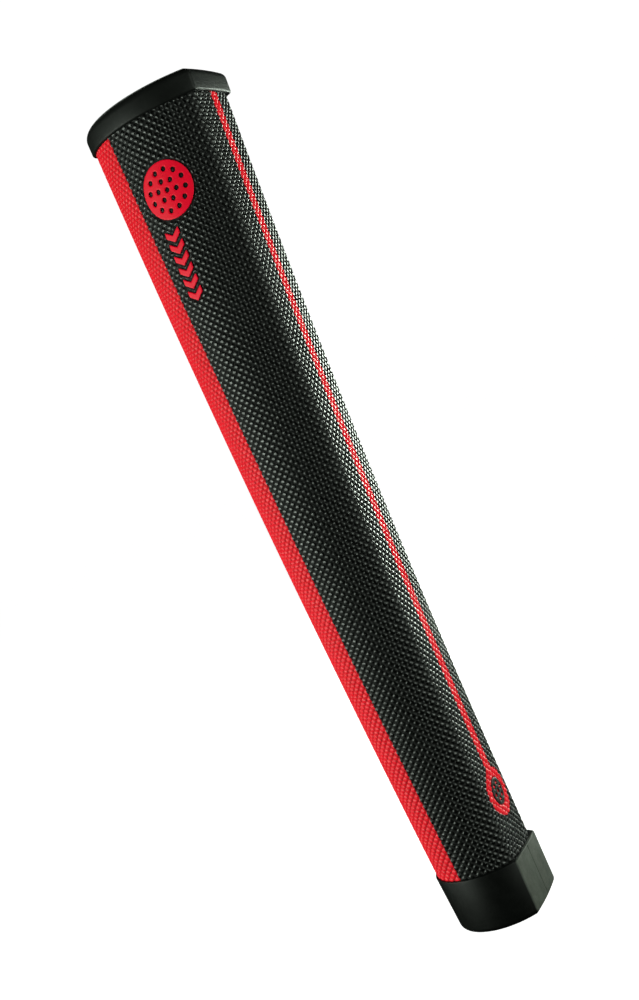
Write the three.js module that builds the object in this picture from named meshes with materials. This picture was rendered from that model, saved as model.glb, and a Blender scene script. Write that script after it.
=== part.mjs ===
import * as THREE from 'three';

// Shield-section putter grip, millimetres.
// +Z runs up the shaft bore, from the mouth end (z = 0) to the butt end.
// +X points out of the flat thumb face, -X out of the keel.
// The outlines below are measured from the bore axis.

// ---- driving dimensions ----
const LENGTH = 254;            // overall, mouth face to butt face
const BORE_R = 7.37;           // bore for a 0.580 in putter shaft
const VENT_R = 0.6;            // air hole through the butt cap
const VENT_X = -5.15;          // it lies off the bore axis, towards the keel
const EYE_R = 1.45;            // shallow round recess it opens into
const EYE_D = 0.4;

// Body outline at the mouth end, mid-length and the butt end.
const FLAT_X = [14.3, 14.7, 20.75];       // bore axis to the thumb face
const KEEL_X = [-11.9, -18.4, -19.95];    // bore axis to the keel
const HALF_WIDTH = [14.1, 15.0, 15.9];    // widest half-width
const HALF_FLAT = [8.9, 10.1, 10.5];      // half-width of the thumb face
const NOSE_R = [5.9, 4.3, 2.65];          // keel rounding
const EDGE_R = 3.5;                       // rounding where the thumb face meets a flank
const CROWN = 0.6;                        // how far the thumb face bows out at its middle
const CAP_CROWN = 0.45;

// Layers of the body, outside to inside.
const SKIN = 0.8;              // polyurethane skin
const BACKING = 0.55;          // felt laminated behind it
const GAP = 0.25;              // bond line between layers

// Butt cap: a shallow cup with a plug that enters the bore.
const BUTT_H = 7.2;
const BUTT_WALL = 1.1;         // how far its lip stands off the skin's outer face
const BUTT_EDGE_R = 1.2;
const BUTT_FLAT_EXTRA = 1.15;  // its corners stand out past the rounded body corners
const BUTT_FLOOR = 3.2;
const SHOULDER_W = 3.9;        // rounded shoulder, across and down
const SHOULDER_H = 2.9;
const GROOVE_IN = 4.6;         // groove round the end panel, in from the side
const GROOVE_HALF = 0.35;
const GROOVE_D = 0.45;
const PANEL_EDGE_R = 8.0;      // rounds the panel's two upper corners, before it is moved in
const PLUG_R = 6.9;
const PLUG_LEN = 5.5;

// Mouth cap: a taller cup with the shaft hole in its floor. Its keel leans in towards the foot.
const MOUTH_H = 16.6;
const MOUTH_FLOOR = 3.0;
const MOUTH_FLAT_X = 15.35;
const MOUTH_KEEL_X = [-12.2, -13.8];  // at the foot and at the lip
const MOUTH_HALF_WIDTH = 15.4;
const MOUTH_HALF_FLAT = 10.3;
const MOUTH_NOSE_R = 6.2;
const MOUTH_EDGE_R = 0.8;
const MOUTH_ROUND = 1.7;       // rounding of its outer bottom edge
const SKIVE = 0.6;             // the body's keel is pared down inside the cap

// Facets.
const N_FLAT = 4;
const N_EDGE = 5;
const N_FLANK = 18;
const N_NOSE = 5;
const N_BORE = 36;
const N_STATIONS = 12;

// ---- section outline ----
// The value of a quadratic through the mouth, middle and butt values.
const along = ([a, b, c], z) => {
  const s = z / LENGTH;
  return a * (1 - s) * (1 - 2 * s) + b * 4 * s * (1 - s) + c * s * (2 * s - 1);
};

// A pointed arch: a flat, two rounded edges, two large flank arcs and a round nose.
// Each flank arc is tangent to the nose and reaches the flat at halfFlat.
function archOutline({ flatX, keelX, halfWidth, halfFlat, noseR, edgeR, crown }) {
  const depth = flatX - keelX;
  const d = halfWidth - halfFlat;
  const a = depth - noseR;
  const qa = 1 - (halfWidth - noseR) / d;
  const qb = -2 * a;
  const qc = a * a + halfWidth ** 2 - noseR ** 2 - (halfWidth - noseR) * d;
  const root = Math.sqrt(qb * qb - 4 * qa * qc);
  const yc = [(-qb + root) / (2 * qa), (-qb - root) / (2 * qa)].find((y) => y > 0 && y < a);
  const r = (yc * yc + d * d) / (2 * d);
  const xc = halfWidth - r;
  const edgeX = xc + Math.sqrt((r - edgeR) ** 2 - (yc - edgeR) ** 2);
  return { flatX, depth, noseR, edgeR, crown, r, xc, yc, edgeX };
}

// Points of the outline moved outwards by `out` (inwards when negative),
// anticlockwise seen from +Z, as [x, y] pairs.
function outlinePoints(shape, out) {
  const { flatX, depth, noseR, edgeR, crown, r, xc, yc, edgeX } = shape;
  const edgeRo = edgeR + out;
  const noseRo = noseR + out;
  const toEdge = Math.atan2(edgeR - yc, edgeX - xc);
  const toNose = Math.atan2(depth - noseR - yc, -xc);
  const half = [];
  const push = (across, down) => half.push([flatX - down, across]);
  const sharp = edgeRo <= 0.05;
  // Where the moved flat and the moved flank arc cross, once the edge radius is used up.
  const cornerX = xc + Math.sqrt((r + out) ** 2 - (yc + out) ** 2);
  const flatEnd = sharp ? cornerX : edgeX;
  for (let i = 0; i < N_FLAT; i++) {
    const f = i / N_FLAT;
    push(flatEnd * f, -out - crown * (1 - f * f));
  }
  for (let i = 0; i < N_EDGE; i++) {
    const t = -Math.PI / 2 + ((toEdge + Math.PI / 2) * i) / N_EDGE;
    if (sharp) {
      // Keep the same number of points, close together at the corner.
      const k = (i / N_EDGE) * 0.02;
      push(cornerX - 0.01 + k * 0.5, -out + k * 0.5);
    } else {
      push(edgeX + edgeRo * Math.cos(t), edgeR + edgeRo * Math.sin(t));
    }
  }
  const noseSharp = noseRo <= 0.05;
  const cross = Math.acos(Math.min(1, -xc / (r + out)));
  const flankEnd = noseSharp ? cross : toNose;
  const flankStart = sharp ? Math.atan2(-out - yc, cornerX - xc) + 0.002 : toEdge;
  for (let i = 0; i < N_FLANK; i++) {
    const t = flankStart + ((flankEnd - flankStart) * i) / N_FLANK;
    push(xc + (r + out) * Math.cos(t), yc + (r + out) * Math.sin(t));
  }
  for (let i = 0; i < N_NOSE; i++) {
    const f = i / N_NOSE;
    if (noseSharp) {
      const t = cross - 0.002 * (1 - f);
      push(xc + (r + out) * Math.cos(t), yc + (r + out) * Math.sin(t));
    } else {
      const t = toNose + (Math.PI / 2 - toNose) * f;
      push(noseRo * Math.cos(t), depth - noseR + noseRo * Math.sin(t));
    }
  }
  const tip = noseSharp ? yc + Math.sqrt((r + out) ** 2 - xc ** 2) : depth + out;
  const lower = half.slice(1).reverse().map(([x, y]) => [x, -y]);
  return [...half, [flatX - tip, 0], ...lower];
}

const BODY_Z0 = MOUTH_FLOOR + GAP;
const BODY_Z1 = LENGTH - BUTT_FLOOR - GAP;
const skive = (z) => SKIVE * Math.max(0, (MOUTH_H - z) / (MOUTH_H - BODY_Z0));

const bodyShape = (z) => archOutline({
  flatX: along(FLAT_X, z),
  keelX: along(KEEL_X, z) + skive(z),
  halfWidth: along(HALF_WIDTH, z),
  halfFlat: along(HALF_FLAT, z),
  noseR: along(NOSE_R, z),
  edgeR: EDGE_R,
  crown: CROWN,
});
const buttShape = (z, edgeR = BUTT_EDGE_R) => archOutline({
  flatX: along(FLAT_X, z) + BUTT_WALL,
  keelX: along(KEEL_X, z) - BUTT_WALL,
  halfWidth: along(HALF_WIDTH, z) + BUTT_WALL,
  halfFlat: along(HALF_FLAT, z) + BUTT_FLAT_EXTRA,
  noseR: along(NOSE_R, z) + BUTT_WALL,
  edgeR,
  crown: CAP_CROWN,
});
const mouthShape = (z) => archOutline({
  flatX: MOUTH_FLAT_X,
  keelX: MOUTH_KEEL_X[0] + ((MOUTH_KEEL_X[1] - MOUTH_KEEL_X[0]) * z) / MOUTH_H,
  halfWidth: MOUTH_HALF_WIDTH,
  halfFlat: MOUTH_HALF_FLAT,
  noseR: MOUTH_NOSE_R,
  edgeR: MOUTH_EDGE_R,
  crown: CAP_CROWN,
});

const circlePoints = (radius, centreX = 0) => Array.from({ length: N_BORE }, (_, i) => {
  const t = (2 * Math.PI * i) / N_BORE;
  return [centreX + radius * Math.cos(t), radius * Math.sin(t)];
});

// ---- solids ----
// Builds one closed skin from a chain of rings. Neighbouring rings with the same
// number of points are joined by a wall, others by a flat face with a hole in it.
class Solid {
  constructor() {
    this.positions = [];
    this.indices = [];
  }

  ring(points, z) {
    const start = this.positions.length / 3;
    for (const [x, y] of points) this.positions.push(x, y, z);
    return { start, points, z };
  }

  // Wall between two rings. It faces out of the outline when `upper` is above `lower`.
  wall(lower, upper) {
    const n = lower.points.length;
    for (let i = 0; i < n; i++) {
      const j = (i + 1) % n;
      const a = lower.start + i;
      const b = lower.start + j;
      const c = upper.start + j;
      const d = upper.start + i;
      this.indices.push(a, b, c, a, c, d);
    }
  }

  // Flat face between an outline and a hole in it, facing up or down.
  face(outer, inner, up) {
    const toVec = ([x, y]) => new THREE.Vector2(x, y);
    const holes = inner ? [inner.points.map(toVec)] : [];
    const triangles = THREE.ShapeUtils.triangulateShape(outer.points.map(toVec), holes);
    const n = outer.points.length;
    const index = (i) => (i < n ? outer.start + i : inner.start + i - n);
    for (const [i, j, k] of triangles) {
      const [a, b, c] = [index(i), index(j), index(k)];
      const p = (v) => [this.positions[3 * v], this.positions[3 * v + 1]];
      const [ax, ay] = p(a);
      const [bx, by] = p(b);
      const [cx, cy] = p(c);
      const turn = (bx - ax) * (cy - ay) - (by - ay) * (cx - ax);
      if (turn > 0 === up) this.indices.push(a, b, c);
      else this.indices.push(a, c, b);
    }
  }

  mesh(name, colour, roughness) {
    const geometry = new THREE.BufferGeometry();
    geometry.setAttribute('position', new THREE.Float32BufferAttribute(this.positions, 3));
    geometry.setIndex(this.indices);
    geometry.computeVertexNormals();
    const material = new THREE.MeshStandardMaterial({ color: colour, roughness, metalness: 0 });
    const mesh = new THREE.Mesh(geometry, material);
    mesh.name = name;
    return mesh;
  }
}

// Heights of the body's rings: its foot, the mouth cap's lip and even steps from there.
const stations = (z0, z1) => [
  z0,
  ...Array.from({ length: N_STATIONS }, (_, i) => MOUTH_H + ((z1 - MOUTH_H) * i) / (N_STATIONS - 1)),
];

// A tube between two offsets of the body outline.
function layer(outOffset, inOffset, z0, z1) {
  const solid = new Solid();
  const zs = stations(z0, z1);
  const outer = zs.map((z) => solid.ring(outlinePoints(bodyShape(z), outOffset), z));
  const inner = zs.map((z) => solid.ring(outlinePoints(bodyShape(z), inOffset), z));
  for (let i = 0; i < N_STATIONS; i++) {
    solid.wall(outer[i], outer[i + 1]);
    solid.wall(inner[i + 1], inner[i]);
  }
  // End faces join outline to outline, point by point.
  solid.wall(inner[0], outer[0]);
  solid.wall(outer[N_STATIONS], inner[N_STATIONS]);
  return solid;
}

const CORE_OFFSET = -(SKIN + GAP + BACKING + GAP);

function foamCore() {
  const solid = new Solid();
  const zs = stations(BODY_Z0, BODY_Z1);
  const outer = zs.map((z) => solid.ring(outlinePoints(bodyShape(z), CORE_OFFSET), z));
  for (let i = 0; i < N_STATIONS; i++) solid.wall(outer[i], outer[i + 1]);
  const low = solid.ring(circlePoints(BORE_R), BODY_Z0);
  const high = solid.ring(circlePoints(BORE_R), BODY_Z1);
  solid.wall(high, low);
  solid.face(outer[0], low, false);
  solid.face(outer[N_STATIONS], high, true);
  return solid;
}

function buttCap() {
  const solid = new Solid();
  const lipZ = LENGTH - BUTT_H;
  const floorZ = LENGTH - BUTT_FLOOR;
  const ring = (out, z) => solid.ring(outlinePoints(buttShape(z), out), z);
  const chain = [ring(0, lipZ), ring(0, LENGTH - SHOULDER_H)];
  const SHOULDER_STEPS = 5;
  for (let i = 1; i <= SHOULDER_STEPS; i++) {
    const t = (Math.PI / 2) * (i / SHOULDER_STEPS);
    const out = -SHOULDER_W * (1 - Math.cos(t));
    chain.push(ring(out, LENGTH - SHOULDER_H * (1 - Math.sin(t))));
  }
  const top = buttShape(LENGTH, PANEL_EDGE_R);
  const topRing = (out, z) => solid.ring(outlinePoints(top, out), z);
  chain.push(topRing(-GROOVE_IN + GROOVE_HALF, LENGTH));
  chain.push(topRing(-GROOVE_IN, LENGTH - GROOVE_D));
  chain.push(topRing(-GROOVE_IN - GROOVE_HALF, LENGTH));
  for (let i = 1; i < chain.length; i++) solid.wall(chain[i - 1], chain[i]);
  const eyeTop = solid.ring(circlePoints(EYE_R, VENT_X), LENGTH);
  const eyeLow = solid.ring(circlePoints(EYE_R, VENT_X), LENGTH - EYE_D);
  const ventTop = solid.ring(circlePoints(VENT_R, VENT_X), LENGTH - EYE_D);
  const ventLow = solid.ring(circlePoints(VENT_R, VENT_X), floorZ - PLUG_LEN);
  solid.face(chain[chain.length - 1], eyeTop, true);
  solid.wall(eyeTop, eyeLow);
  solid.wall(eyeLow, ventTop);
  solid.wall(ventTop, ventLow);
  const plugLow = solid.ring(circlePoints(PLUG_R), floorZ - PLUG_LEN);
  const plugTop = solid.ring(circlePoints(PLUG_R), floorZ);
  solid.face(plugLow, ventLow, false);
  solid.wall(plugLow, plugTop);
  const cavity = (z) => solid.ring(outlinePoints(bodyShape(z), GAP), z);
  const cavityTop = cavity(floorZ);
  const cavityLip = cavity(lipZ);
  solid.face(cavityTop, plugTop, false);
  solid.wall(cavityTop, cavityLip);
  solid.wall(cavityLip, chain[0]);
  return solid;
}

function mouthCap() {
  const solid = new Solid();
  const ring = (out, z) => solid.ring(outlinePoints(mouthShape(z), out), z);
  const chain = [];
  const ROUND_STEPS = 4;
  for (let i = 0; i <= ROUND_STEPS; i++) {
    const t = (Math.PI / 2) * (i / ROUND_STEPS);
    chain.push(ring(-MOUTH_ROUND * (1 - Math.sin(t)), MOUTH_ROUND * (1 - Math.cos(t))));
  }
  chain.push(ring(0, MOUTH_H));
  for (let i = 1; i < chain.length; i++) solid.wall(chain[i - 1], chain[i]);
  const holeLow = solid.ring(circlePoints(BORE_R), 0);
  const holeTop = solid.ring(circlePoints(BORE_R), MOUTH_FLOOR);
  solid.face(chain[0], holeLow, false);
  solid.wall(holeTop, holeLow);
  const CAVITY_STEPS = 3;
  const cavity = [];
  for (let i = 0; i <= CAVITY_STEPS; i++) {
    const z = MOUTH_FLOOR + ((MOUTH_H - MOUTH_FLOOR) * i) / CAVITY_STEPS;
    cavity.push(solid.ring(outlinePoints(bodyShape(z), GAP), z));
  }
  solid.face(cavity[0], holeTop, true);
  for (let i = 1; i <= CAVITY_STEPS; i++) solid.wall(cavity[i], cavity[i - 1]);
  solid.wall(chain[chain.length - 1], cavity[CAVITY_STEPS]);
  return solid;
}

// ---- assembly ----
const grip = new THREE.Group();
grip.name = 'golf_grip';
grip.add(layer(0, -SKIN, BODY_Z0, BODY_Z1).mesh('outer_skin', 0x1b1d1b, 0.55));
grip.add(
  layer(-SKIN - GAP, -SKIN - GAP - BACKING, BODY_Z0, BODY_Z1).mesh('felt_backing', 0x8c8a84, 0.95),
);
grip.add(foamCore().mesh('foam_core', 0x3a3b3d, 0.9));
grip.add(buttCap().mesh('butt_cap', 0x1a1a1a, 0.6));
grip.add(mouthCap().mesh('mouth_cap', 0x222222, 0.6));

// The origin is the middle of the bounding box's foot, a little off the bore axis.
const bounds = new THREE.Box3().setFromObject(grip);
const centreX = (bounds.min.x + bounds.max.x) / 2;
for (const mesh of grip.children) mesh.geometry.translate(-centreX, 0, 0);

export default grip;
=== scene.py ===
import math
import bpy
import numpy as np
from mathutils import Matrix, Vector


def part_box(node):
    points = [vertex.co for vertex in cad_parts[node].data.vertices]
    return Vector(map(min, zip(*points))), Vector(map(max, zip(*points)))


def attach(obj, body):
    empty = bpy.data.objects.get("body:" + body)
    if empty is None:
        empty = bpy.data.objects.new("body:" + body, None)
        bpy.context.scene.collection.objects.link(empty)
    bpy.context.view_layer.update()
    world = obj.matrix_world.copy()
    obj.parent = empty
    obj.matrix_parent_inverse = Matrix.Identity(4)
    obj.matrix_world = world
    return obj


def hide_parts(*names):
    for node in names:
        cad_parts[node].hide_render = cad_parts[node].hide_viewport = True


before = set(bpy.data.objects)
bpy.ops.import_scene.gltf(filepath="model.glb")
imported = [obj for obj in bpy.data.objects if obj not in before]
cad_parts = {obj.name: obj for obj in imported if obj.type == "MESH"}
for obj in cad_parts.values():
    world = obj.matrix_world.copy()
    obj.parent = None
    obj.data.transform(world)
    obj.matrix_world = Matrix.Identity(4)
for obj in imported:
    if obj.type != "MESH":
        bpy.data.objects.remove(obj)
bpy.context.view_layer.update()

MM = 0.001

# ---- dimensions, millimetres, the same as the CAD's ----
LENGTH = 254.0
BORE_R = 7.37
VENT_R, VENT_X, EYE_R, EYE_D = 0.6, -5.15, 1.45, 0.4
FLAT_X = (14.3, 14.7, 20.75)
KEEL_X = (-11.9, -18.4, -19.95)
HALF_WIDTH = (14.1, 15.0, 15.9)
HALF_FLAT = (8.9, 10.1, 10.5)
NOSE_R = (5.9, 4.3, 2.65)
EDGE_R = 3.5
CROWN = 0.6
CAP_CROWN = 0.45
GAP = 0.25
BUTT_H, BUTT_WALL, BUTT_EDGE_R, BUTT_FLAT_EXTRA, BUTT_FLOOR = 7.2, 1.1, 1.2, 1.15, 3.2
SHOULDER_W, SHOULDER_H = 3.9, 2.9
GROOVE_IN, GROOVE_D, PANEL_EDGE_R = 4.6, 0.45, 8.0
PLUG_R, PLUG_LEN = 6.9, 5.5
MOUTH_H, MOUTH_FLOOR, MOUTH_ROUND = 16.6, 3.0, 1.7
MOUTH_FLAT_X, MOUTH_KEEL_X = 15.35, (-12.2, -13.8)
MOUTH_HALF_WIDTH, MOUTH_HALF_FLAT, MOUTH_NOSE_R, MOUTH_EDGE_R = 15.4, 10.3, 6.2, 0.8
SKIVE, BODY_Z0 = 0.6, 3.25

# The bore axis in the row frame: the solids are centred on the bounding box.
mouth_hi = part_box("mouth_cap")[1]
AXIS_X = mouth_hi.x / MM - (MOUTH_FLAT_X + CAP_CROWN)

# ---- the printed and moulded pattern, millimetres ----
PITCH_U, PITCH_V = 2.45, 2.27    # repeat of the bead lattice round the grip and along it
BEAD_H = 0.45           # valley to top
BEAD_TOP = 0.18         # the tops stand this far out of the CAD's smooth face
GRID_U, GRID_V = PITCH_U / 8, PITCH_V / 8    # the mesh follows the lattice: every valley is an edge
LINE_HALF = 1.95        # alignment line down the thumb face
DISC_Z, DISC_R = 34.1, 7.1
DISC_FILLET = 1.2       # where the line runs into the disc
MARK_U, MARK_Z, MARK_R = 27.1, 226.0, 7.9    # ball printed on the near flank
DISC_MARK_R = 3.9       # ball printed in the disc
EMBLEM_X, EMBLEM_R = 8.5, 5.6    # ball moulded on the butt cap's panel
CHEVRON_COUNT, CHEVRON_STEP = 6, 3.4
CHEVRON_U, CHEVRON_Z = 30.6, 213.9           # middle of the row, and the first chevron
CHEVRON_HALF, CHEVRON_RISE, CHEVRON_ROUND = 2.3, 1.6, 0.12
SEAM_HALF, SEAM_RAMP = 0.12, 0.45            # pressed joint of the skin along the keel
MARK_MARGIN, DISC_MARGIN = 0.45, 0.35        # the beads stop this far outside a raised mark
SKIN_Z0, SKIN_Z1 = 8.0, 249.6

# ---- details of the caps, millimetres ----
LIP_ROUND = 0.7
MOULD_LINE = 0.18       # depth of the mould line down the mouth cap's flat
EYE_LEAD = 0.5          # the mesh tightens to a circle this far outside the recess


def band_half(z):
    """Half-width of the red keel band, measured round the surface from the keel."""
    t = (z - 100.0) / 140.0
    return 19.20 - 0.405 * t - 1.02 * t * t


# ---- section outline: a pointed arch with a flat ----
def along(values, z):
    s = np.asarray(z, float) / LENGTH
    a, b, c = values
    return a * (1 - s) * (1 - 2 * s) + b * 4 * s * (1 - s) + c * s * (2 * s - 1)


def arch(flat_x, keel_x, half_width, half_flat, nose_r, edge_r, crown):
    depth = flat_x - keel_x
    d = half_width - half_flat
    a = depth - nose_r
    qa = 1 - (half_width - nose_r) / d
    qb = -2 * a
    qc = a * a + half_width ** 2 - nose_r ** 2 - (half_width - nose_r) * d
    root = np.sqrt(qb * qb - 4 * qa * qc)
    y1, y2 = (-qb + root) / (2 * qa), (-qb - root) / (2 * qa)
    yc = np.where((y1 > 0) & (y1 < a), y1, y2)
    r = (yc * yc + d * d) / (2 * d)
    xc = half_width - r
    edge_x = xc + np.sqrt((r - edge_r) ** 2 - (yc - edge_r) ** 2)
    to_edge = np.arctan2(edge_r - yc, edge_x - xc)
    to_nose = np.arctan2(a - yc, -xc)
    return dict(flat_x=flat_x, depth=depth, nose_r=nose_r, edge_r=edge_r, crown=crown,
                r=r, xc=xc, yc=yc, edge_x=edge_x, to_edge=to_edge, to_nose=to_nose)


def body_arch(z):
    z = np.asarray(z, float)
    one = np.ones_like(z)
    skive = SKIVE * np.maximum(0, (MOUTH_H - z) / (MOUTH_H - BODY_Z0))
    return arch(along(FLAT_X, z), along(KEEL_X, z) + skive, along(HALF_WIDTH, z),
                along(HALF_FLAT, z), along(NOSE_R, z), EDGE_R * one, CROWN * one)


def butt_arch(z, edge_r=BUTT_EDGE_R):
    one = np.ones_like(np.asarray(z, float))
    return arch(along(FLAT_X, z) + BUTT_WALL, along(KEEL_X, z) - BUTT_WALL,
                along(HALF_WIDTH, z) + BUTT_WALL, along(HALF_FLAT, z) + BUTT_FLAT_EXTRA,
                along(NOSE_R, z) + BUTT_WALL, edge_r * one, CAP_CROWN * one)


def mouth_arch(z):
    one = np.ones_like(np.asarray(z, float))
    keel_x = MOUTH_KEEL_X[0] + (MOUTH_KEEL_X[1] - MOUTH_KEEL_X[0]) * z / MOUTH_H
    return arch(MOUTH_FLAT_X * one, keel_x, MOUTH_HALF_WIDTH * one, MOUTH_HALF_FLAT * one,
                MOUTH_NOSE_R * one, MOUTH_EDGE_R * one, CAP_CROWN * one)


def half_girth(s):
    """Distance round the surface from the middle of the thumb face to the keel."""
    return (s["edge_x"] + s["edge_r"] * (s["to_edge"] + np.pi / 2)
            + s["r"] * (s["to_nose"] - s["to_edge"]) + s["nose_r"] * (np.pi / 2 - s["to_nose"]))


def on_arch(s, u):
    """Position and outward normal (x, across) at distance u round the surface."""
    l1 = s["edge_x"]
    l2 = l1 + s["edge_r"] * (s["to_edge"] + np.pi / 2)
    l3 = l2 + s["r"] * (s["to_nose"] - s["to_edge"])
    f = np.clip(u / l1, 0, 1)
    flat = (s["flat_x"] + s["crown"] * (1 - f * f), u + 0 * l1)
    flat_n = np.arctan2(-1.0, 2 * s["crown"] * f / l1)
    t2 = -np.pi / 2 + (u - l1) / s["edge_r"]
    edge = (s["flat_x"] - s["edge_r"] - s["edge_r"] * np.sin(t2), s["edge_x"] + s["edge_r"] * np.cos(t2))
    t3 = s["to_edge"] + (u - l2) / s["r"]
    flank = (s["flat_x"] - s["yc"] - s["r"] * np.sin(t3), s["xc"] + s["r"] * np.cos(t3))
    t4 = s["to_nose"] + (u - l3) / s["nose_r"]
    nose = (s["flat_x"] - s["depth"] + s["nose_r"] - s["nose_r"] * np.sin(t4), s["nose_r"] * np.cos(t4))
    sel = [u < l1, u < l2, u < l3]
    x = np.select(sel, [flat[0], edge[0], flank[0]], nose[0])
    y = np.select(sel, [flat[1], edge[1], flank[1]], nose[1])
    t = np.select(sel, [flat_n, t2, t3], t4)
    return x, y, -np.sin(t), np.cos(t)


# ---- generic printed marks, as distance fields in surface millimetres ----
def polygon(u, z, points, rounding=0.0):
    """Signed distance to a polygon, negative inside."""
    p = np.stack([u, z], -1)
    pts = np.array(points, float)
    best = np.full(u.shape, 1e9)
    inside = np.zeros(u.shape, bool)
    for i in range(len(pts)):
        a, b = pts[i - 1], pts[i]
        e = b - a
        w = p - a
        t = np.clip((w @ e) / (e @ e), 0, 1)
        best = np.minimum(best, ((w - t[..., None] * e) ** 2).sum(-1))
        cond = (a[1] > p[..., 1]) != (b[1] > p[..., 1])
        with np.errstate(divide="ignore", invalid="ignore"):
            cross = (b[0] - a[0]) * (p[..., 1] - a[1]) / (b[1] - a[1]) + a[0]
        inside ^= cond & (p[..., 0] < cross)
    return np.where(inside, -1, 1) * np.sqrt(best) - rounding


def disc(u, z, cu, cz, radius):
    return np.hypot(u - cu, z - cz) - radius


# Dimples in rings: how far out each ring lies, as a part of the ball's radius, and how many it has.
MANY_DIMPLES = ((0.0, 1), (0.36, 6), (0.71, 12))
FEW_DIMPLES = ((0.0, 1), (0.60, 6))


def golf_ball(u, z, radius, dimple, rings):
    """A plain golf ball with rings of round dimples, whose size is a part of its radius."""
    ball = disc(u, z, 0.0, 0.0, radius)
    for ring_r, count in rings:
        for i in range(count):
            t = 0.2 + i * 2 * math.pi / count
            cu, cz = radius * ring_r * math.cos(t), radius * ring_r * math.sin(t)
            ball = np.maximum(ball, -disc(u, z, cu, cz, dimple * radius))
    return ball


def chevrons(u, z):
    """A row of small chevrons pointing down the grip."""
    best = np.full(u.shape, 1e9)
    left, right = CHEVRON_U - CHEVRON_HALF, CHEVRON_U + CHEVRON_HALF
    for i in range(CHEVRON_COUNT):
        c = CHEVRON_Z - CHEVRON_STEP * i
        points = [(left, c + 1.9), (CHEVRON_U, c + 1.9 - CHEVRON_RISE), (right, c + 1.9),
                  (right, c + 0.4), (CHEVRON_U, c - 1.3), (left, c + 0.4)]
        best = np.minimum(best, polygon(u, z, points, CHEVRON_ROUND))
    return best


def flank_marks(u, z):
    ball = golf_ball(u - MARK_U, z - MARK_Z, MARK_R, 0.095, MANY_DIMPLES)
    return np.minimum(ball, chevrons(u, z))


def disc_mark(u, z):
    """The same ball, small, in the middle of the disc; u is signed across the face."""
    return golf_ball(u, z - DISC_Z, DISC_MARK_R, 0.18, FEW_DIMPLES)


def emblem(a, b):
    """The same again, on the butt cap's panel."""
    return golf_ball(a, b, EMBLEM_R, 0.095, MANY_DIMPLES)


def disc_field(u, z):
    """The alignment line running into the disc, with a small fillet between them."""
    line = np.maximum(np.abs(u) - LINE_HALF, DISC_Z - z)
    spot = disc(u, z, 0.0, DISC_Z, DISC_R)
    h = np.clip(0.5 + 0.5 * (spot - line) / DISC_FILLET, 0, 1)
    return spot * (1 - h) + line * h - DISC_FILLET * h * (1 - h)


# ---- small mesh toolkit ----
class Sheet:
    """Triangles with positions and any number of scalar fields on the vertices."""

    def __init__(self, pos, tri, fields):
        self.pos, self.tri, self.fields = pos, tri, fields

    def cut(self, name):
        """Splits along the zero line of a field: (where negative, where positive)."""
        f = self.fields[name].copy()
        f[np.abs(f) < 1e-4] = 1e-4
        neg = f[self.tri] < 0
        count = neg.sum(1)
        keep_in, keep_out = self.tri[count == 3], self.tri[count == 0]
        mixed = self.tri[(count == 1) | (count == 2)]
        mixed_neg = neg[(count == 1) | (count == 2)]
        if not len(mixed):
            return self.part(keep_in), self.part(keep_out)
        lone_neg = mixed_neg.sum(1) == 1
        lone = np.where(lone_neg, mixed_neg.argmax(1), (~mixed_neg).argmax(1))
        rows = np.arange(len(mixed))
        a, b, c = (mixed[rows, (lone + k) % 3] for k in range(3))
        n = len(self.pos)
        keys = np.concatenate([np.sort(np.stack([a, b], 1), 1), np.sort(np.stack([a, c], 1), 1)])
        uniq, inverse = np.unique(keys, axis=0, return_inverse=True)
        inverse = inverse.reshape(-1)
        t = f[uniq[:, 0]] / (f[uniq[:, 0]] - f[uniq[:, 1]])
        near, far = uniq[:, 0], uniq[:, 1]
        between_pos = self.pos[near] * (1 - t[:, None]) + self.pos[far] * t[:, None]
        pos = np.concatenate([self.pos, between_pos])
        fields = {k: np.concatenate([v, v[near] * (1 - t) + v[far] * t]) for k, v in self.fields.items()}
        ab, ac = n + inverse[:len(mixed)], n + inverse[len(mixed):]
        tip = np.stack([a, ab, ac], 1)
        rest = np.concatenate([np.stack([ab, b, c], 1), np.stack([ab, c, ac], 1)])
        rest_neg = np.concatenate([~lone_neg, ~lone_neg])
        whole = Sheet(pos, None, fields)
        inside = np.concatenate([keep_in, tip[lone_neg], rest[rest_neg]])
        outside = np.concatenate([keep_out, tip[~lone_neg], rest[~rest_neg]])
        return whole.part(inside), whole.part(outside)

    def part(self, tri):
        used = np.unique(tri)
        back = np.zeros(len(self.pos), int)
        back[used] = np.arange(len(used))
        return Sheet(self.pos[used], back[tri], {k: v[used] for k, v in self.fields.items()})


def join(a, b):
    """Two sheets as one, welded where their edges meet so the shading runs across."""
    pos = np.concatenate([a.pos, b.pos])
    tri = np.concatenate([a.tri, b.tri + len(a.pos)])
    _, first, index = np.unique(np.round(pos, 3) + 0.0, axis=0, return_index=True, return_inverse=True)
    fields = {k: np.concatenate([a.fields[k], b.fields[k]])[first] for k in a.fields}
    return Sheet(pos[first], index.reshape(-1)[tri], fields)


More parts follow.
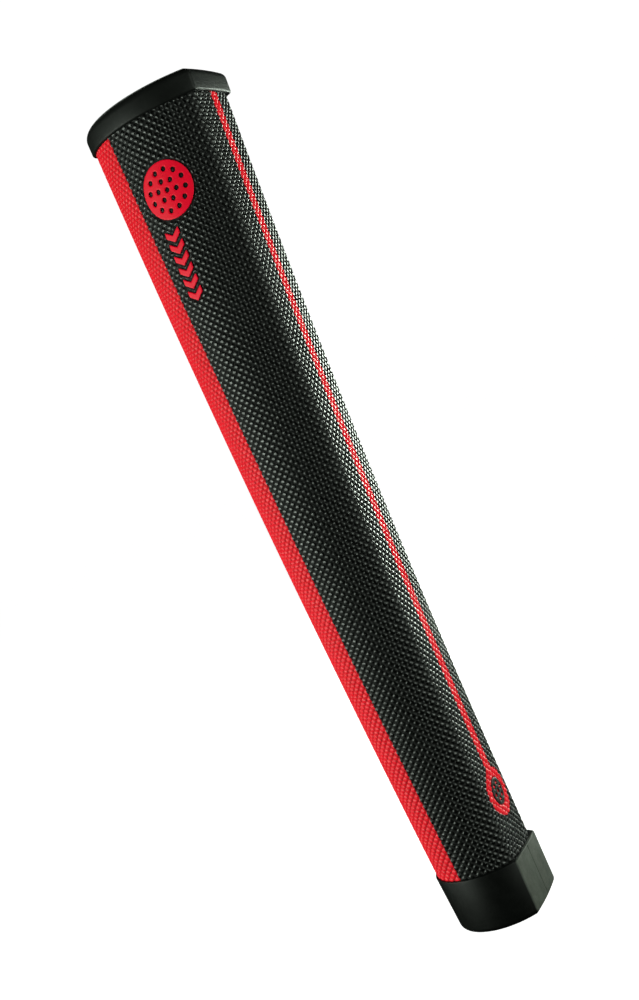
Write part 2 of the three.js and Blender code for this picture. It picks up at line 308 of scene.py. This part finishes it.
def make_object(name, pos_mm, faces, replaces=(), sharp=None):
    mesh = bpy.data.meshes.new(name)
    pos = np.asarray(pos_mm, float) * MM
    faces = np.asarray(faces, np.int32)
    k = faces.shape[1]
    mesh.vertices.add(len(pos))
    mesh.vertices.foreach_set("co", pos.ravel())
    mesh.loops.add(faces.size)
    mesh.loops.foreach_set("vertex_index", faces.ravel())
    mesh.polygons.add(len(faces))
    mesh.polygons.foreach_set("loop_start", np.arange(0, faces.size, k, dtype=np.int32))
    mesh.polygons.foreach_set("loop_total", np.full(len(faces), k, np.int32))
    mesh.update(calc_edges=True)
    mesh.validate()
    mesh.shade_smooth()
    if sharp is not None:
        mesh.set_sharp_from_angle(angle=math.radians(sharp))
    obj = bpy.data.objects.new(name, mesh)
    bpy.context.scene.collection.objects.link(obj)
    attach(obj, "root")
    if replaces:
        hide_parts(*replaces)
    return obj


# ---- beaded skin ----
def bead(u, v):
    """Height of the bead lattice, 0 in a valley and 1 on a top."""
    a = np.mod(u / PITCH_U + v / PITCH_V, 1.0)
    b = np.mod(u / PITCH_U - v / PITCH_V, 1.0)
    fa, fb = 4 * a * (1 - a), 4 * b * (1 - b)
    # Flat-topped pads with steep sides.
    return 1 - (1 - fa * fb) ** 3


def row_shift(u, z):
    """How far a straight row of the wrapped sheet drops as it goes round the taper."""
    us = np.linspace(0, 60, 61)
    zs = np.linspace(0, LENGTH, 41)
    uu, zz = np.meshgrid(us, zs, indexing="ij")
    d = 0.5
    x1, y1, _, _ = on_arch(body_arch(zz + d), uu)
    x0, y0, _, _ = on_arch(body_arch(zz - d), uu)
    _, _, nx, ny = on_arch(body_arch(zz), uu)
    slide = ((x1 - x0) * -ny + (y1 - y0) * nx) / (2 * d)
    steps = np.cumsum((slide[1:] + slide[:-1]) / 2, 0)
    total = np.concatenate([np.zeros((1, len(zs))), steps]) * (us[1] - us[0])
    i = np.clip(u / (us[1] - us[0]), 0, len(us) - 1.001)
    j = np.clip(z / (zs[1] - zs[0]), 0, len(zs) - 1.001)
    i0, j0 = i.astype(int), j.astype(int)
    fi, fj = i - i0, j - j0
    return ((total[i0, j0] * (1 - fi) + total[i0 + 1, j0] * fi) * (1 - fj)
            + (total[i0, j0 + 1] * (1 - fi) + total[i0 + 1, j0 + 1] * fi) * fj)


def skin_side(side):
    """The beaded skin of one half, from the middle of the thumb face to the keel.
    side is -1 for the half with the printed marks and +1 for the other."""
    nu = int(math.ceil(60.0 / GRID_U))
    v0 = math.floor((SKIN_Z0 - 4.0) / GRID_V)
    v1 = math.ceil((SKIN_Z1 + 4.0) / GRID_V)
    iu, iv = np.meshgrid(np.arange(nu + 1), np.arange(v0, v1 + 1), indexing="ij")
    u, v = iu * GRID_U, iv * GRID_V
    z = v - row_shift(u, v)
    z = v - row_shift(u, z)
    s = body_arch(z)
    girth = half_girth(s)
    uc = np.minimum(u, girth + 0.5)
    x, y, nx, ny = on_arch(s, uc)
    marks = flank_marks(u, z) if side < 0 else np.full(u.shape, 9.0)
    small = disc_mark(u * side, z)
    seam = girth - u
    low = np.minimum(np.minimum(marks - MARK_MARGIN, small - DISC_MARGIN), 9.0)
    height = bead(u, v)
    # The seam along the keel is a fine pressed joint.
    height = height * np.clip((seam - SEAM_HALF) / SEAM_RAMP, 0, 1)
    height = np.where(low < 0, 0.0, height * np.clip(0.4 + low / 0.35, 0, 1))
    push = BEAD_TOP - BEAD_H * (1 - height)
    pos = np.stack([x + nx * push + AXIS_X, side * (y + ny * push), z], -1).reshape(-1, 3)
    fields = dict(
        keel=u - girth,
        band=(girth - band_half(z)) - u,
        line=disc_field(u * side, z),
        bottom=SKIN_Z0 - z,
        top=z - SKIN_Z1,
        height=height,
    )
    fields = {k: f.reshape(-1) for k, f in fields.items()}
    nv = v1 - v0 + 1
    a = (iu[:-1, :-1] * nv + (iv[:-1, :-1] - v0)).reshape(-1)
    b, c, d = a + nv, a + nv + 1, a + 1
    main = (((iu - iv)[:-1, :-1] % 8) == 0).reshape(-1)
    t1 = np.where(main[:, None], np.stack([a, b, c], 1), np.stack([a, b, d], 1))
    t2 = np.where(main[:, None], np.stack([a, c, d], 1), np.stack([b, c, d], 1))
    tri = np.concatenate([t1, t2])
    if side < 0:
        tri = tri[:, ::-1]
    sheet = Sheet(pos, tri, fields)
    for name in ("keel", "bottom", "top"):
        sheet, _ = sheet.cut(name)
    line, sheet = sheet.cut("line")
    band, black = sheet.cut("band")
    return black, band, line


near_black, near_band, near_line = skin_side(-1)
far_black, far_band, far_line = skin_side(1)


def skin_object(name, sheet, replaces=()):
    """A piece of the skin, with the bead height kept on its vertices."""
    obj = make_object(name, sheet.pos, sheet.tri, replaces)
    heights = obj.data.attributes.new("bead", "FLOAT", "POINT")
    heights.data.foreach_set("value", sheet.fields["height"].astype(np.float32))
    return obj


skin_near = skin_object("skin_black_near", near_black, ["outer_skin"])
skin_far = skin_object("skin_black_far", far_black)
skin_keel = skin_object("skin_red_keel", join(near_band, far_band))
skin_line = skin_object("skin_red_line", join(near_line, far_line))


def boundary(tri):
    """The directed edges that only one triangle uses."""
    edges = np.concatenate([tri[:, [0, 1]], tri[:, [1, 2]], tri[:, [2, 0]]])
    _, index, count = np.unique(np.sort(edges, 1), axis=0, return_index=True, return_counts=True)
    return edges[index[count == 1]]


def raised_mark(name, field, place, a_range, b_range, top, foot, flip=False, step=0.14):
    """A smooth raised mark: a flat top where the field is negative, with a wall round it.
    place(a, b) gives the surface point and its outward normal."""
    a_s, b_s = np.arange(*a_range, step), np.arange(*b_range, step)
    a, b = np.meshgrid(a_s, b_s, indexing="ij")
    point, normal = place(a, b)
    f = field(a, b)
    # A softly rounded shoulder over the last quarter millimetre.
    height = top - 0.10 * np.clip(1 + f / 0.25, 0, 1) ** 2
    pos = (point + normal * height[..., None]).reshape(-1, 3)
    low = (point + normal * foot).reshape(-1, 3)
    n = len(b_s)
    i, j = np.meshgrid(np.arange(len(a_s) - 1), np.arange(n - 1), indexing="ij")
    v = (i * n + j).reshape(-1)
    tri = np.concatenate([np.stack([v, v + n, v + n + 1], 1), np.stack([v, v + n + 1, v + 1], 1)])
    if flip:
        tri = tri[:, ::-1]
    fields = dict(mark=f.reshape(-1), lx=low[:, 0], ly=low[:, 1], lz=low[:, 2])
    face, _ = Sheet(pos, tri, fields).cut("mark")
    rim, n = boundary(face.tri), len(face.pos)
    feet = np.stack([face.fields[k] for k in ("lx", "ly", "lz")], 1)
    wall = np.concatenate([np.stack([rim[:, 1], rim[:, 0], rim[:, 0] + n], 1),
                           np.stack([rim[:, 1], rim[:, 0] + n, rim[:, 1] + n], 1)])
    whole = Sheet(np.concatenate([face.pos, feet]), np.concatenate([face.tri, wall]), {})
    whole = whole.part(whole.tri)
    return make_object(name, whole.pos, whole.tri, sharp=50)


def on_near_flank(u, z):
    x, y, nx, ny = on_arch(body_arch(z), u)
    return np.stack([x + AXIS_X, -y, z], -1), np.stack([nx, -ny, 0 * z], -1)


def on_thumb_face(u, z):
    x, y, nx, ny = on_arch(body_arch(z), np.abs(u))
    side = np.where(u >= 0, 1.0, -1.0)
    return np.stack([x + AXIS_X, side * y, z], -1), np.stack([nx, side * ny, 0 * z], -1)


def on_end_panel(a, b):
    zero = np.zeros_like(a)
    return np.stack([AXIS_X + EMBLEM_X - a, b, zero + LENGTH], -1), np.stack([zero, zero, zero + 1], -1)


flank_print = raised_mark("flank_print", flank_marks, on_near_flank, (18.0, 36.5), (194.0, 236.0),
                          0.16, -0.60, flip=True)
disc_print = raised_mark("disc_print", disc_mark, on_thumb_face, (-5.0, 5.0), (DISC_Z - 5, DISC_Z + 5),
                         0.12, -0.60)
cap_emblem = raised_mark("butt_cap_emblem", emblem, on_end_panel, (-6.0, 6.0), (-6.4, 6.4),
                         0.30, -0.10, flip=True)


# ---- moulded caps ----
def outline(s, out, groove=0.0, n_flat=10, n_edge=8, n_flank=44, n_nose=12):
    """Points of an outline moved outwards by out, anticlockwise from above, as [x, y].
    groove is the depth of a hair-fine mould line down the middle of the flat."""
    edge_r, nose_r = s["edge_r"] + out, s["nose_r"] + out
    sharp, pointed = edge_r <= 0.05, nose_r <= 0.05
    corner = s["xc"] + math.sqrt((s["r"] + out) ** 2 - (s["yc"] + out) ** 2)
    cross = math.acos(min(1.0, -s["xc"] / (s["r"] + out)))
    end = corner if sharp else s["edge_x"]
    half = []
    for q in [0.0, 0.11, 0.17, 0.30] + list(np.linspace(0.8, end, n_flat, endpoint=False)):
        f = q / end
        dip = groove if q < 0.12 else 0.0
        half.append((s["flat_x"] + out + s["crown"] * (1 - f * f) - dip, q))
    for i in range(n_edge):
        t = -math.pi / 2 + (s["to_edge"] + math.pi / 2) * i / n_edge
        if sharp:
            k = i / n_edge * 0.02
            half.append((s["flat_x"] + out - 0.5 * k, corner - 0.01 + 0.5 * k))
        else:
            half.append((s["flat_x"] - s["edge_r"] - edge_r * math.sin(t),
                         s["edge_x"] + edge_r * math.cos(t)))
    start = math.atan2(-out - s["yc"], corner - s["xc"]) + 0.002 if sharp else s["to_edge"]
    stop = cross if pointed else s["to_nose"]

    def on_flank(t):
        return s["flat_x"] - s["yc"] - (s["r"] + out) * math.sin(t), s["xc"] + (s["r"] + out) * math.cos(t)

    half += [on_flank(start + (stop - start) * i / n_flank) for i in range(n_flank)]
    for i in range(n_nose):
        f = i / n_nose
        if pointed:
            half.append(on_flank(cross - 0.002 * (1 - f)))
        else:
            t = s["to_nose"] + (math.pi / 2 - s["to_nose"]) * f
            half.append((s["flat_x"] - s["depth"] + s["nose_r"] - nose_r * math.sin(t),
                         nose_r * math.cos(t)))
    tip = s["yc"] + math.sqrt((s["r"] + out) ** 2 - s["xc"] ** 2) if pointed else s["depth"] + out
    points = half + [(s["flat_x"] - tip, 0.0)] + [(x, -y) for x, y in reversed(half[1:])]
    return np.array(points)


def plain(shape):
    return {k: float(v) for k, v in shape.items()}


def ring(points, z):
    z = np.full(len(points), z) if np.isscalar(z) else z
    return np.column_stack([points[:, 0] + AXIS_X, points[:, 1], z])


def circle(radius, n, x=0.0):
    """A circle with as many points as the outlines, so walls and faces join point to point."""
    t = np.arange(n) * 2 * math.pi / n
    return np.column_stack([x + radius * np.cos(t), radius * np.sin(t)])


def loft(name, rings, replaces, sharp=32):
    """Quads between neighbouring rings, closed from the last ring back to the first."""
    n = len(rings[0])
    m = len(rings)
    pos = np.concatenate(rings)
    i, j = np.meshgrid(np.arange(m), np.arange(n), indexing="ij")
    a = (i * n + j).reshape(-1)
    b = (i * n + (j + 1) % n).reshape(-1)
    c = (((i + 1) % m) * n + (j + 1) % n).reshape(-1)
    d = (((i + 1) % m) * n + j).reshape(-1)
    return make_object(name, pos, np.stack([a, b, c, d], 1), replaces, sharp)


def between(p, q, f):
    return p * (1 - f) + q * f


def butt_cap():
    lip, floor = LENGTH - BUTT_H, LENGTH - BUTT_FLOOR

    def out(off, z):
        return ring(outline(plain(butt_arch(z)), off), z)

    def cavity(z):
        return ring(outline(plain(body_arch(z)), GAP), z)

    rings = [out(-LIP_ROUND * (1 - math.cos(t)), lip + LIP_ROUND * (1 - math.sin(t)))
             for t in np.linspace(math.pi / 2, 0, 5)]
    rings.append(out(0.0, LENGTH - SHOULDER_H))
    for i in range(1, 13):
        t = math.pi / 2 * i / 12
        rings.append(out(-SHOULDER_W * (1 - math.cos(t)), LENGTH - SHOULDER_H * (1 - math.sin(t))))
    panel = plain(butt_arch(LENGTH, PANEL_EDGE_R))
    for off, dz in ((0.42, 0.0), (0.28, 0.06), (0.14, 0.35), (0.0, GROOVE_D),
                    (-0.14, 0.35), (-0.28, 0.06), (-0.42, 0.0)):
        rings.append(ring(outline(panel, -GROOVE_IN + off), LENGTH - dz))
    inner = outline(panel, -GROOVE_IN - 0.42)
    n = len(inner)
    for f in (0.3, 0.6, 0.85):
        rings.append(ring(between(inner, circle(EYE_R + EYE_LEAD, n, VENT_X), f), LENGTH))
    # The air hole opens into a shallow round eye.
    for radius, dz in ((EYE_R + EYE_LEAD, 0.0), (EYE_R + 0.12, 0.0), (EYE_R, 0.12), (EYE_R - 0.03, EYE_D),
                       (VENT_R + 0.1, EYE_D), (VENT_R, EYE_D + 0.1)):
        rings.append(ring(circle(radius, n, VENT_X), LENGTH - dz))
    rings.append(ring(circle(VENT_R, n, VENT_X), floor - PLUG_LEN))
    rings.append(ring(circle(PLUG_R - 0.6, n), floor - PLUG_LEN))
    rings.append(ring(circle(PLUG_R, n), floor - PLUG_LEN + 0.6))
    rings.append(ring(circle(PLUG_R, n), floor))
    rings.append(cavity(floor))
    rings.append(cavity(lip))
    return loft("butt_cap_moulding", rings, ["butt_cap"])


def mouth_cap():
    def out(off, z, groove=0.0):
        return ring(outline(plain(mouth_arch(z)), off, groove), z)

    rings = []
    for i in range(9):
        t = math.pi / 2 * i / 8
        rings.append(out(-MOUTH_ROUND * (1 - math.sin(t)), MOUTH_ROUND * (1 - math.cos(t)),
                         MOULD_LINE * math.sin(t)))
    rings += [out(0.0, MOUTH_H - 0.45, MOULD_LINE), out(-0.13, MOUTH_H - 0.10), out(-0.42, MOUTH_H)]
    for z in (MOUTH_H, 12.0, 7.5, MOUTH_FLOOR):
        rings.append(ring(outline(plain(body_arch(z)), GAP), z))
    n = len(rings[0])
    for radius, z in ((BORE_R, MOUTH_FLOOR), (BORE_R, 0.5), (BORE_R + 0.5, 0.0)):
        rings.append(ring(circle(radius, n), z))
    return loft("mouth_cap_moulding", rings, ["mouth_cap"])


butt = butt_cap()
mouth = mouth_cap()


# ---- materials ----
def new_material(name):
    material = bpy.data.materials.new(name)
    material.use_nodes = True
    tree = material.node_tree
    for node in list(tree.nodes):
        tree.nodes.remove(node)
    out = tree.nodes.new("ShaderNodeOutputMaterial")
    shader = tree.nodes.new("ShaderNodeBsdfPrincipled")
    tree.links.new(shader.outputs["BSDF"], out.inputs["Surface"])
    return material, tree, shader


def noise(tree, scale, detail=2.0, roughness=0.5):
    coord = tree.nodes.new("ShaderNodeTexCoord")
    node = tree.nodes.new("ShaderNodeTexNoise")
    node.inputs["Scale"].default_value = scale
    node.inputs["Detail"].default_value = detail
    node.inputs["Roughness"].default_value = roughness
    tree.links.new(coord.outputs["Object"], node.inputs["Vector"])
    return node.outputs["Fac"]


def ramp(tree, fac, stops):
    node = tree.nodes.new("ShaderNodeValToRGB")
    while len(node.color_ramp.elements) < len(stops):
        node.color_ramp.elements.new(0.5)
    for element, (at, colour) in zip(node.color_ramp.elements, stops):
        element.position = at
        element.color = colour if len(colour) == 4 else (*colour, 1)
    tree.links.new(fac, node.inputs["Fac"])
    return node.outputs["Color"]


def span(tree, fac, low, high, start=0.3, stop=0.7):
    node = tree.nodes.new("ShaderNodeMapRange")
    node.inputs["To Min"].default_value = low
    node.inputs["To Max"].default_value = high
    node.inputs["From Min"].default_value = start
    node.inputs["From Max"].default_value = stop
    tree.links.new(fac, node.inputs["Value"])
    return node.outputs["Result"]


def bump(tree, shader, fac, distance, strength=1.0):
    node = tree.nodes.new("ShaderNodeBump")
    node.inputs["Distance"].default_value = distance
    node.inputs["Strength"].default_value = strength
    tree.links.new(fac, node.inputs["Height"])
    tree.links.new(node.outputs["Normal"], shader.inputs["Normal"])


def mixed(tree, factor, under, over):
    """The colour under where factor is 0, and over where it is 1; under may be a plain colour."""
    node = tree.nodes.new("ShaderNodeMix")
    node.data_type = "RGBA"
    tree.links.new(factor, node.inputs["Factor"])
    if isinstance(under, tuple):
        node.inputs["A"].default_value = (*under, 1)
    else:
        tree.links.new(under, node.inputs["A"])
    tree.links.new(over, node.inputs["B"])
    return node.outputs["Result"]


def pu(name, valley_shade, dark, light, rough, specular):
    """Beaded polyurethane: the colour drifts slowly, the valleys get painted shade in their base colour,
    and they are duller.
    """
    material, tree, shader = new_material(name)
    bead_height = tree.nodes.new("ShaderNodeAttribute")
    bead_height.attribute_name = "bead"
    height = bead_height.outputs["Fac"]
    colour = ramp(tree, noise(tree, 220, 3.0), [(0.3, dark), (0.7, light)])
    # Painted shade: the base colour darkens from the top of each bead down into the valleys around it.
    out_of_painted_shade = span(tree, height, 0.0, 1.0, 0.05, 0.60)
    tree.links.new(mixed(tree, out_of_painted_shade, valley_shade, colour), shader.inputs["Base Color"])
    add = tree.nodes.new("ShaderNodeMath")
    add.operation = "ADD"
    tree.links.new(span(tree, noise(tree, 900, 2.0), rough - 0.05, rough + 0.05), add.inputs[0])
    tree.links.new(span(tree, height, 0.55, 0.0, 0.10, 0.85), add.inputs[1])
    tree.links.new(add.outputs["Value"], shader.inputs["Roughness"])
    bump(tree, shader, noise(tree, 5200, 3.0, 0.6), 0.00004)
    shader.inputs["Specular IOR Level"].default_value = specular
    return material


def smooth_print(name, dark, light, rough, specular):
    """Smooth raised ink."""
    material, tree, shader = new_material(name)
    colour = ramp(tree, noise(tree, 220, 3.0), [(0.3, dark), (0.7, light)])
    tree.links.new(colour, shader.inputs["Base Color"])
    roughness = span(tree, noise(tree, 900, 2.0), rough - 0.06, rough + 0.06)
    tree.links.new(roughness, shader.inputs["Roughness"])
    bump(tree, shader, noise(tree, 5200, 3.0, 0.6), 0.00001)
    shader.inputs["Specular IOR Level"].default_value = specular
    return material


def on_the_flat(tree):
    """0 on the mouth cap's sides and 1 on its flat."""
    coord = tree.nodes.new("ShaderNodeTexCoord")
    split = tree.nodes.new("ShaderNodeSeparateXYZ")
    tree.links.new(coord.outputs["Object"], split.inputs["Vector"])
    flat_x = MOUTH_FLAT_X + AXIS_X
    return span(tree, split.outputs["X"], 0.0, 1.0, (flat_x - 0.5) * MM, (flat_x - 0.1) * MM)


def cap_rubber(name, dark, light, specular, flat_painted_light=None):
    """Satin moulded rubber. The last argument gives the two greys of patchy painted light on the mouth
    cap's flat, which make the flat lighter than the sides.
    """
    material, tree, shader = new_material(name)
    colour = ramp(tree, noise(tree, 300, 4.0), [(0.3, dark), (0.7, light)])
    # Painted light: the mouth cap's flat is given a lighter colour than its sides.
    if flat_painted_light:
        flat_light_colour = ramp(tree, noise(tree, 260, 5.0, 0.6), [(0.3, flat_painted_light[0]), (0.7, flat_painted_light[1])])
        colour = mixed(tree, on_the_flat(tree), colour, flat_light_colour)
    tree.links.new(colour, shader.inputs["Base Color"])
    tree.links.new(span(tree, noise(tree, 1500, 3.0), 0.40, 0.52), shader.inputs["Roughness"])
    bump(tree, shader, noise(tree, 3800, 3.0, 0.65), 0.00003)
    shader.inputs["Specular IOR Level"].default_value = specular
    return material


def matt(name, mottle, dark, light, rough, grain, depth):
    """A dull material; mottle and grain are the noises of its colour and its surface."""
    material, tree, shader = new_material(name)
    colour = ramp(tree, noise(tree, *mottle), [(0.3, dark), (0.7, light)])
    tree.links.new(colour, shader.inputs["Base Color"])
    shader.inputs["Roughness"].default_value = rough
    bump(tree, shader, noise(tree, *grain), depth)
    return material


def assign(obj, material):
    obj.data.materials.clear()
    obj.data.materials.append(material)


# The first colour given to each beaded skin is the painted shade of its valleys.
black_skin = pu("black_polyurethane", (0.0001, 0.00015, 0.0001), (0.0003, 0.0004, 0.0003),
                (0.0008, 0.0011, 0.0008), 0.31, 0.42)
red_skin = pu("red_polyurethane", (0.30, 0.001, 0.004), (0.92, 0.005, 0.018),
              (1.0, 0.008, 0.026), 0.36, 0.25)
red_print = smooth_print("red_smooth_print", (0.96, 0.003, 0.026), (1.0, 0.005, 0.034), 0.42, 0.12)
dark_print = smooth_print("dark_smooth_print", (0.016, 0.018, 0.016), (0.026, 0.029, 0.026), 0.42, 0.3)
rubber = cap_rubber("cap_rubber_moulded", (0.0055, 0.0060, 0.0055), (0.0085, 0.0092, 0.0085), 0.14)
# The mouth cap: rubber darker than the butt cap's on its sides, and painted light on its flat.
mouth_rubber_lit_flat = cap_rubber("cap_rubber_painted_light_flat", (0.0018, 0.0021, 0.0018), (0.0034, 0.0038, 0.0034), 0.12,
                     flat_painted_light=((0.056, 0.060, 0.052), (0.102, 0.108, 0.095)))
felt = matt("felt_non_woven", (1400, 5.0, 0.7), (0.30, 0.29, 0.26), (0.52, 0.50, 0.46), 0.95,
            (2600, 5.0, 0.7), 0.00015)
foam = matt("foam_closed_cell", (700, 4.0), (0.020, 0.020, 0.022), (0.038, 0.038, 0.041), 0.9,
            (1800, 3.0, 0.6), 0.0002)

for obj in (skin_near, skin_far):
    assign(obj, black_skin)
for obj in (skin_keel, skin_line):
    assign(obj, red_skin)
for obj in (butt, cap_emblem):
    assign(obj, rubber)
assign(flank_print, red_print)
assign(disc_print, dark_print)
assign(mouth, mouth_rubber_lit_flat)
assign(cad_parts["felt_backing"], felt)
assign(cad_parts["foam_core"], foam)


# ---- floor, backdrop, lights and camera ----
def camera_only(obj):
    """Seen by the camera, but neither lights the grip nor mirrors in it."""
    obj.visible_diffuse = False
    obj.visible_glossy = False
    obj.visible_transmission = False
    obj.visible_shadow = False


def glow(name, colour, strength, base=None):
    material, tree, shader = new_material(name)
    shader.inputs["Base Color"].default_value = (*(base or (0, 0, 0)), 1)
    shader.inputs["Roughness"].default_value = 1.0
    shader.inputs["Specular IOR Level"].default_value = 0.0
    shader.inputs["Emission Color"].default_value = (*colour, 1)
    shader.inputs["Emission Strength"].default_value = strength
    return material


bpy.ops.mesh.primitive_circle_add(vertices=96, radius=6.0, fill_type="NGON", location=(0, 0, 0))
floor = bpy.context.object
floor.name = "floor"
floor.data.materials.append(glow("floor_white", (1, 1, 1), 1.0, (0.8, 0.8, 0.8)))
floor.visible_diffuse = False
floor.visible_glossy = False
bpy.ops.mesh.primitive_uv_sphere_add(segments=48, ring_count=24, radius=6.5)
backdrop = bpy.context.object
backdrop.name = "backdrop"
backdrop.data.materials.append(glow("backdrop_white", (1, 1, 1), 1.05))
camera_only(backdrop)

world = bpy.data.worlds.new("studio")
bpy.context.scene.world = world
world.use_nodes = True
world.node_tree.nodes["Background"].inputs["Color"].default_value = (0.9, 0.95, 1.0, 1)
world.node_tree.nodes["Background"].inputs["Strength"].default_value = 0.004


LIGHT_TINT = (0.92, 1.05, 0.92)


def softbox(name, bearing, elevation, power, side=0.25, distance=0.8, aim=(0, 0, 0.13)):
    """A square soft box on a bearing in degrees from -Y towards +X, aimed at the grip."""
    data = bpy.data.lights.new(name, "AREA")
    data.shape = "SQUARE"
    data.size = side
    data.energy = power
    data.color = LIGHT_TINT
    light = bpy.data.objects.new(name, data)
    bpy.context.scene.collection.objects.link(light)
    a, e = math.radians(bearing), math.radians(elevation)
    away = Vector((math.sin(a) * math.cos(e), -math.cos(a) * math.cos(e), math.sin(e)))
    light.location = Vector(aim) + away * distance
    light.rotation_mode = "QUATERNION"
    light.rotation_quaternion = (-away).to_track_quat("-Z", "Y")
    return light


softbox("left_box", -75, 0, 2.12)
softbox("front_left_box", -45, 0, 4.67)
softbox("right_box", 75, 0, 4.40, side=0.36)
softbox("far_right_box", 105, 0, 1.04)
softbox("back_box", 165, 0, 5.20)
softbox("high_left_box", -150, 40, 0.46)
softbox("high_right_box", 50, 40, 0.20)

# ---- camera, metres and degrees ----
CAMERA_AT = (0.173830, -0.379690, 0.151130)
CAMERA_AIM = (-0.000840, 0.001080, 0.130490)
CAMERA_ROLL = -23.912
CAMERA_SLIDE = 0.000144      # sideways and up, square to the view

cam_data = bpy.data.cameras.new("camera")
cam_data.sensor_fit = "AUTO"
cam_data.sensor_width = 36.0
cam_data.lens = 52.42
cam_data.clip_start, cam_data.clip_end = 0.01, 50.0
camera = bpy.data.objects.new("camera", cam_data)
bpy.context.scene.collection.objects.link(camera)
position = Vector(CAMERA_AT)
roll = math.radians(CAMERA_ROLL)
back = (position - Vector(CAMERA_AIM)).normalized()
right = Vector((-back.y, back.x, 0)).normalized()
up = back.cross(right)
cam_x = right * math.cos(roll) + up * math.sin(roll)
cam_y = up * math.cos(roll) - right * math.sin(roll)
position += (cam_y - cam_x) * CAMERA_SLIDE
camera.matrix_world = Matrix((
    (cam_x.x, cam_y.x, back.x, position.x),
    (cam_x.y, cam_y.y, back.y, position.y),
    (cam_x.z, cam_y.z, back.z, position.z),
    (0, 0, 0, 1),
))
bpy.context.scene.camera = camera
bpy.context.scene.view_settings.view_transform = "Standard"
bpy.context.scene.view_settings.look = "None"
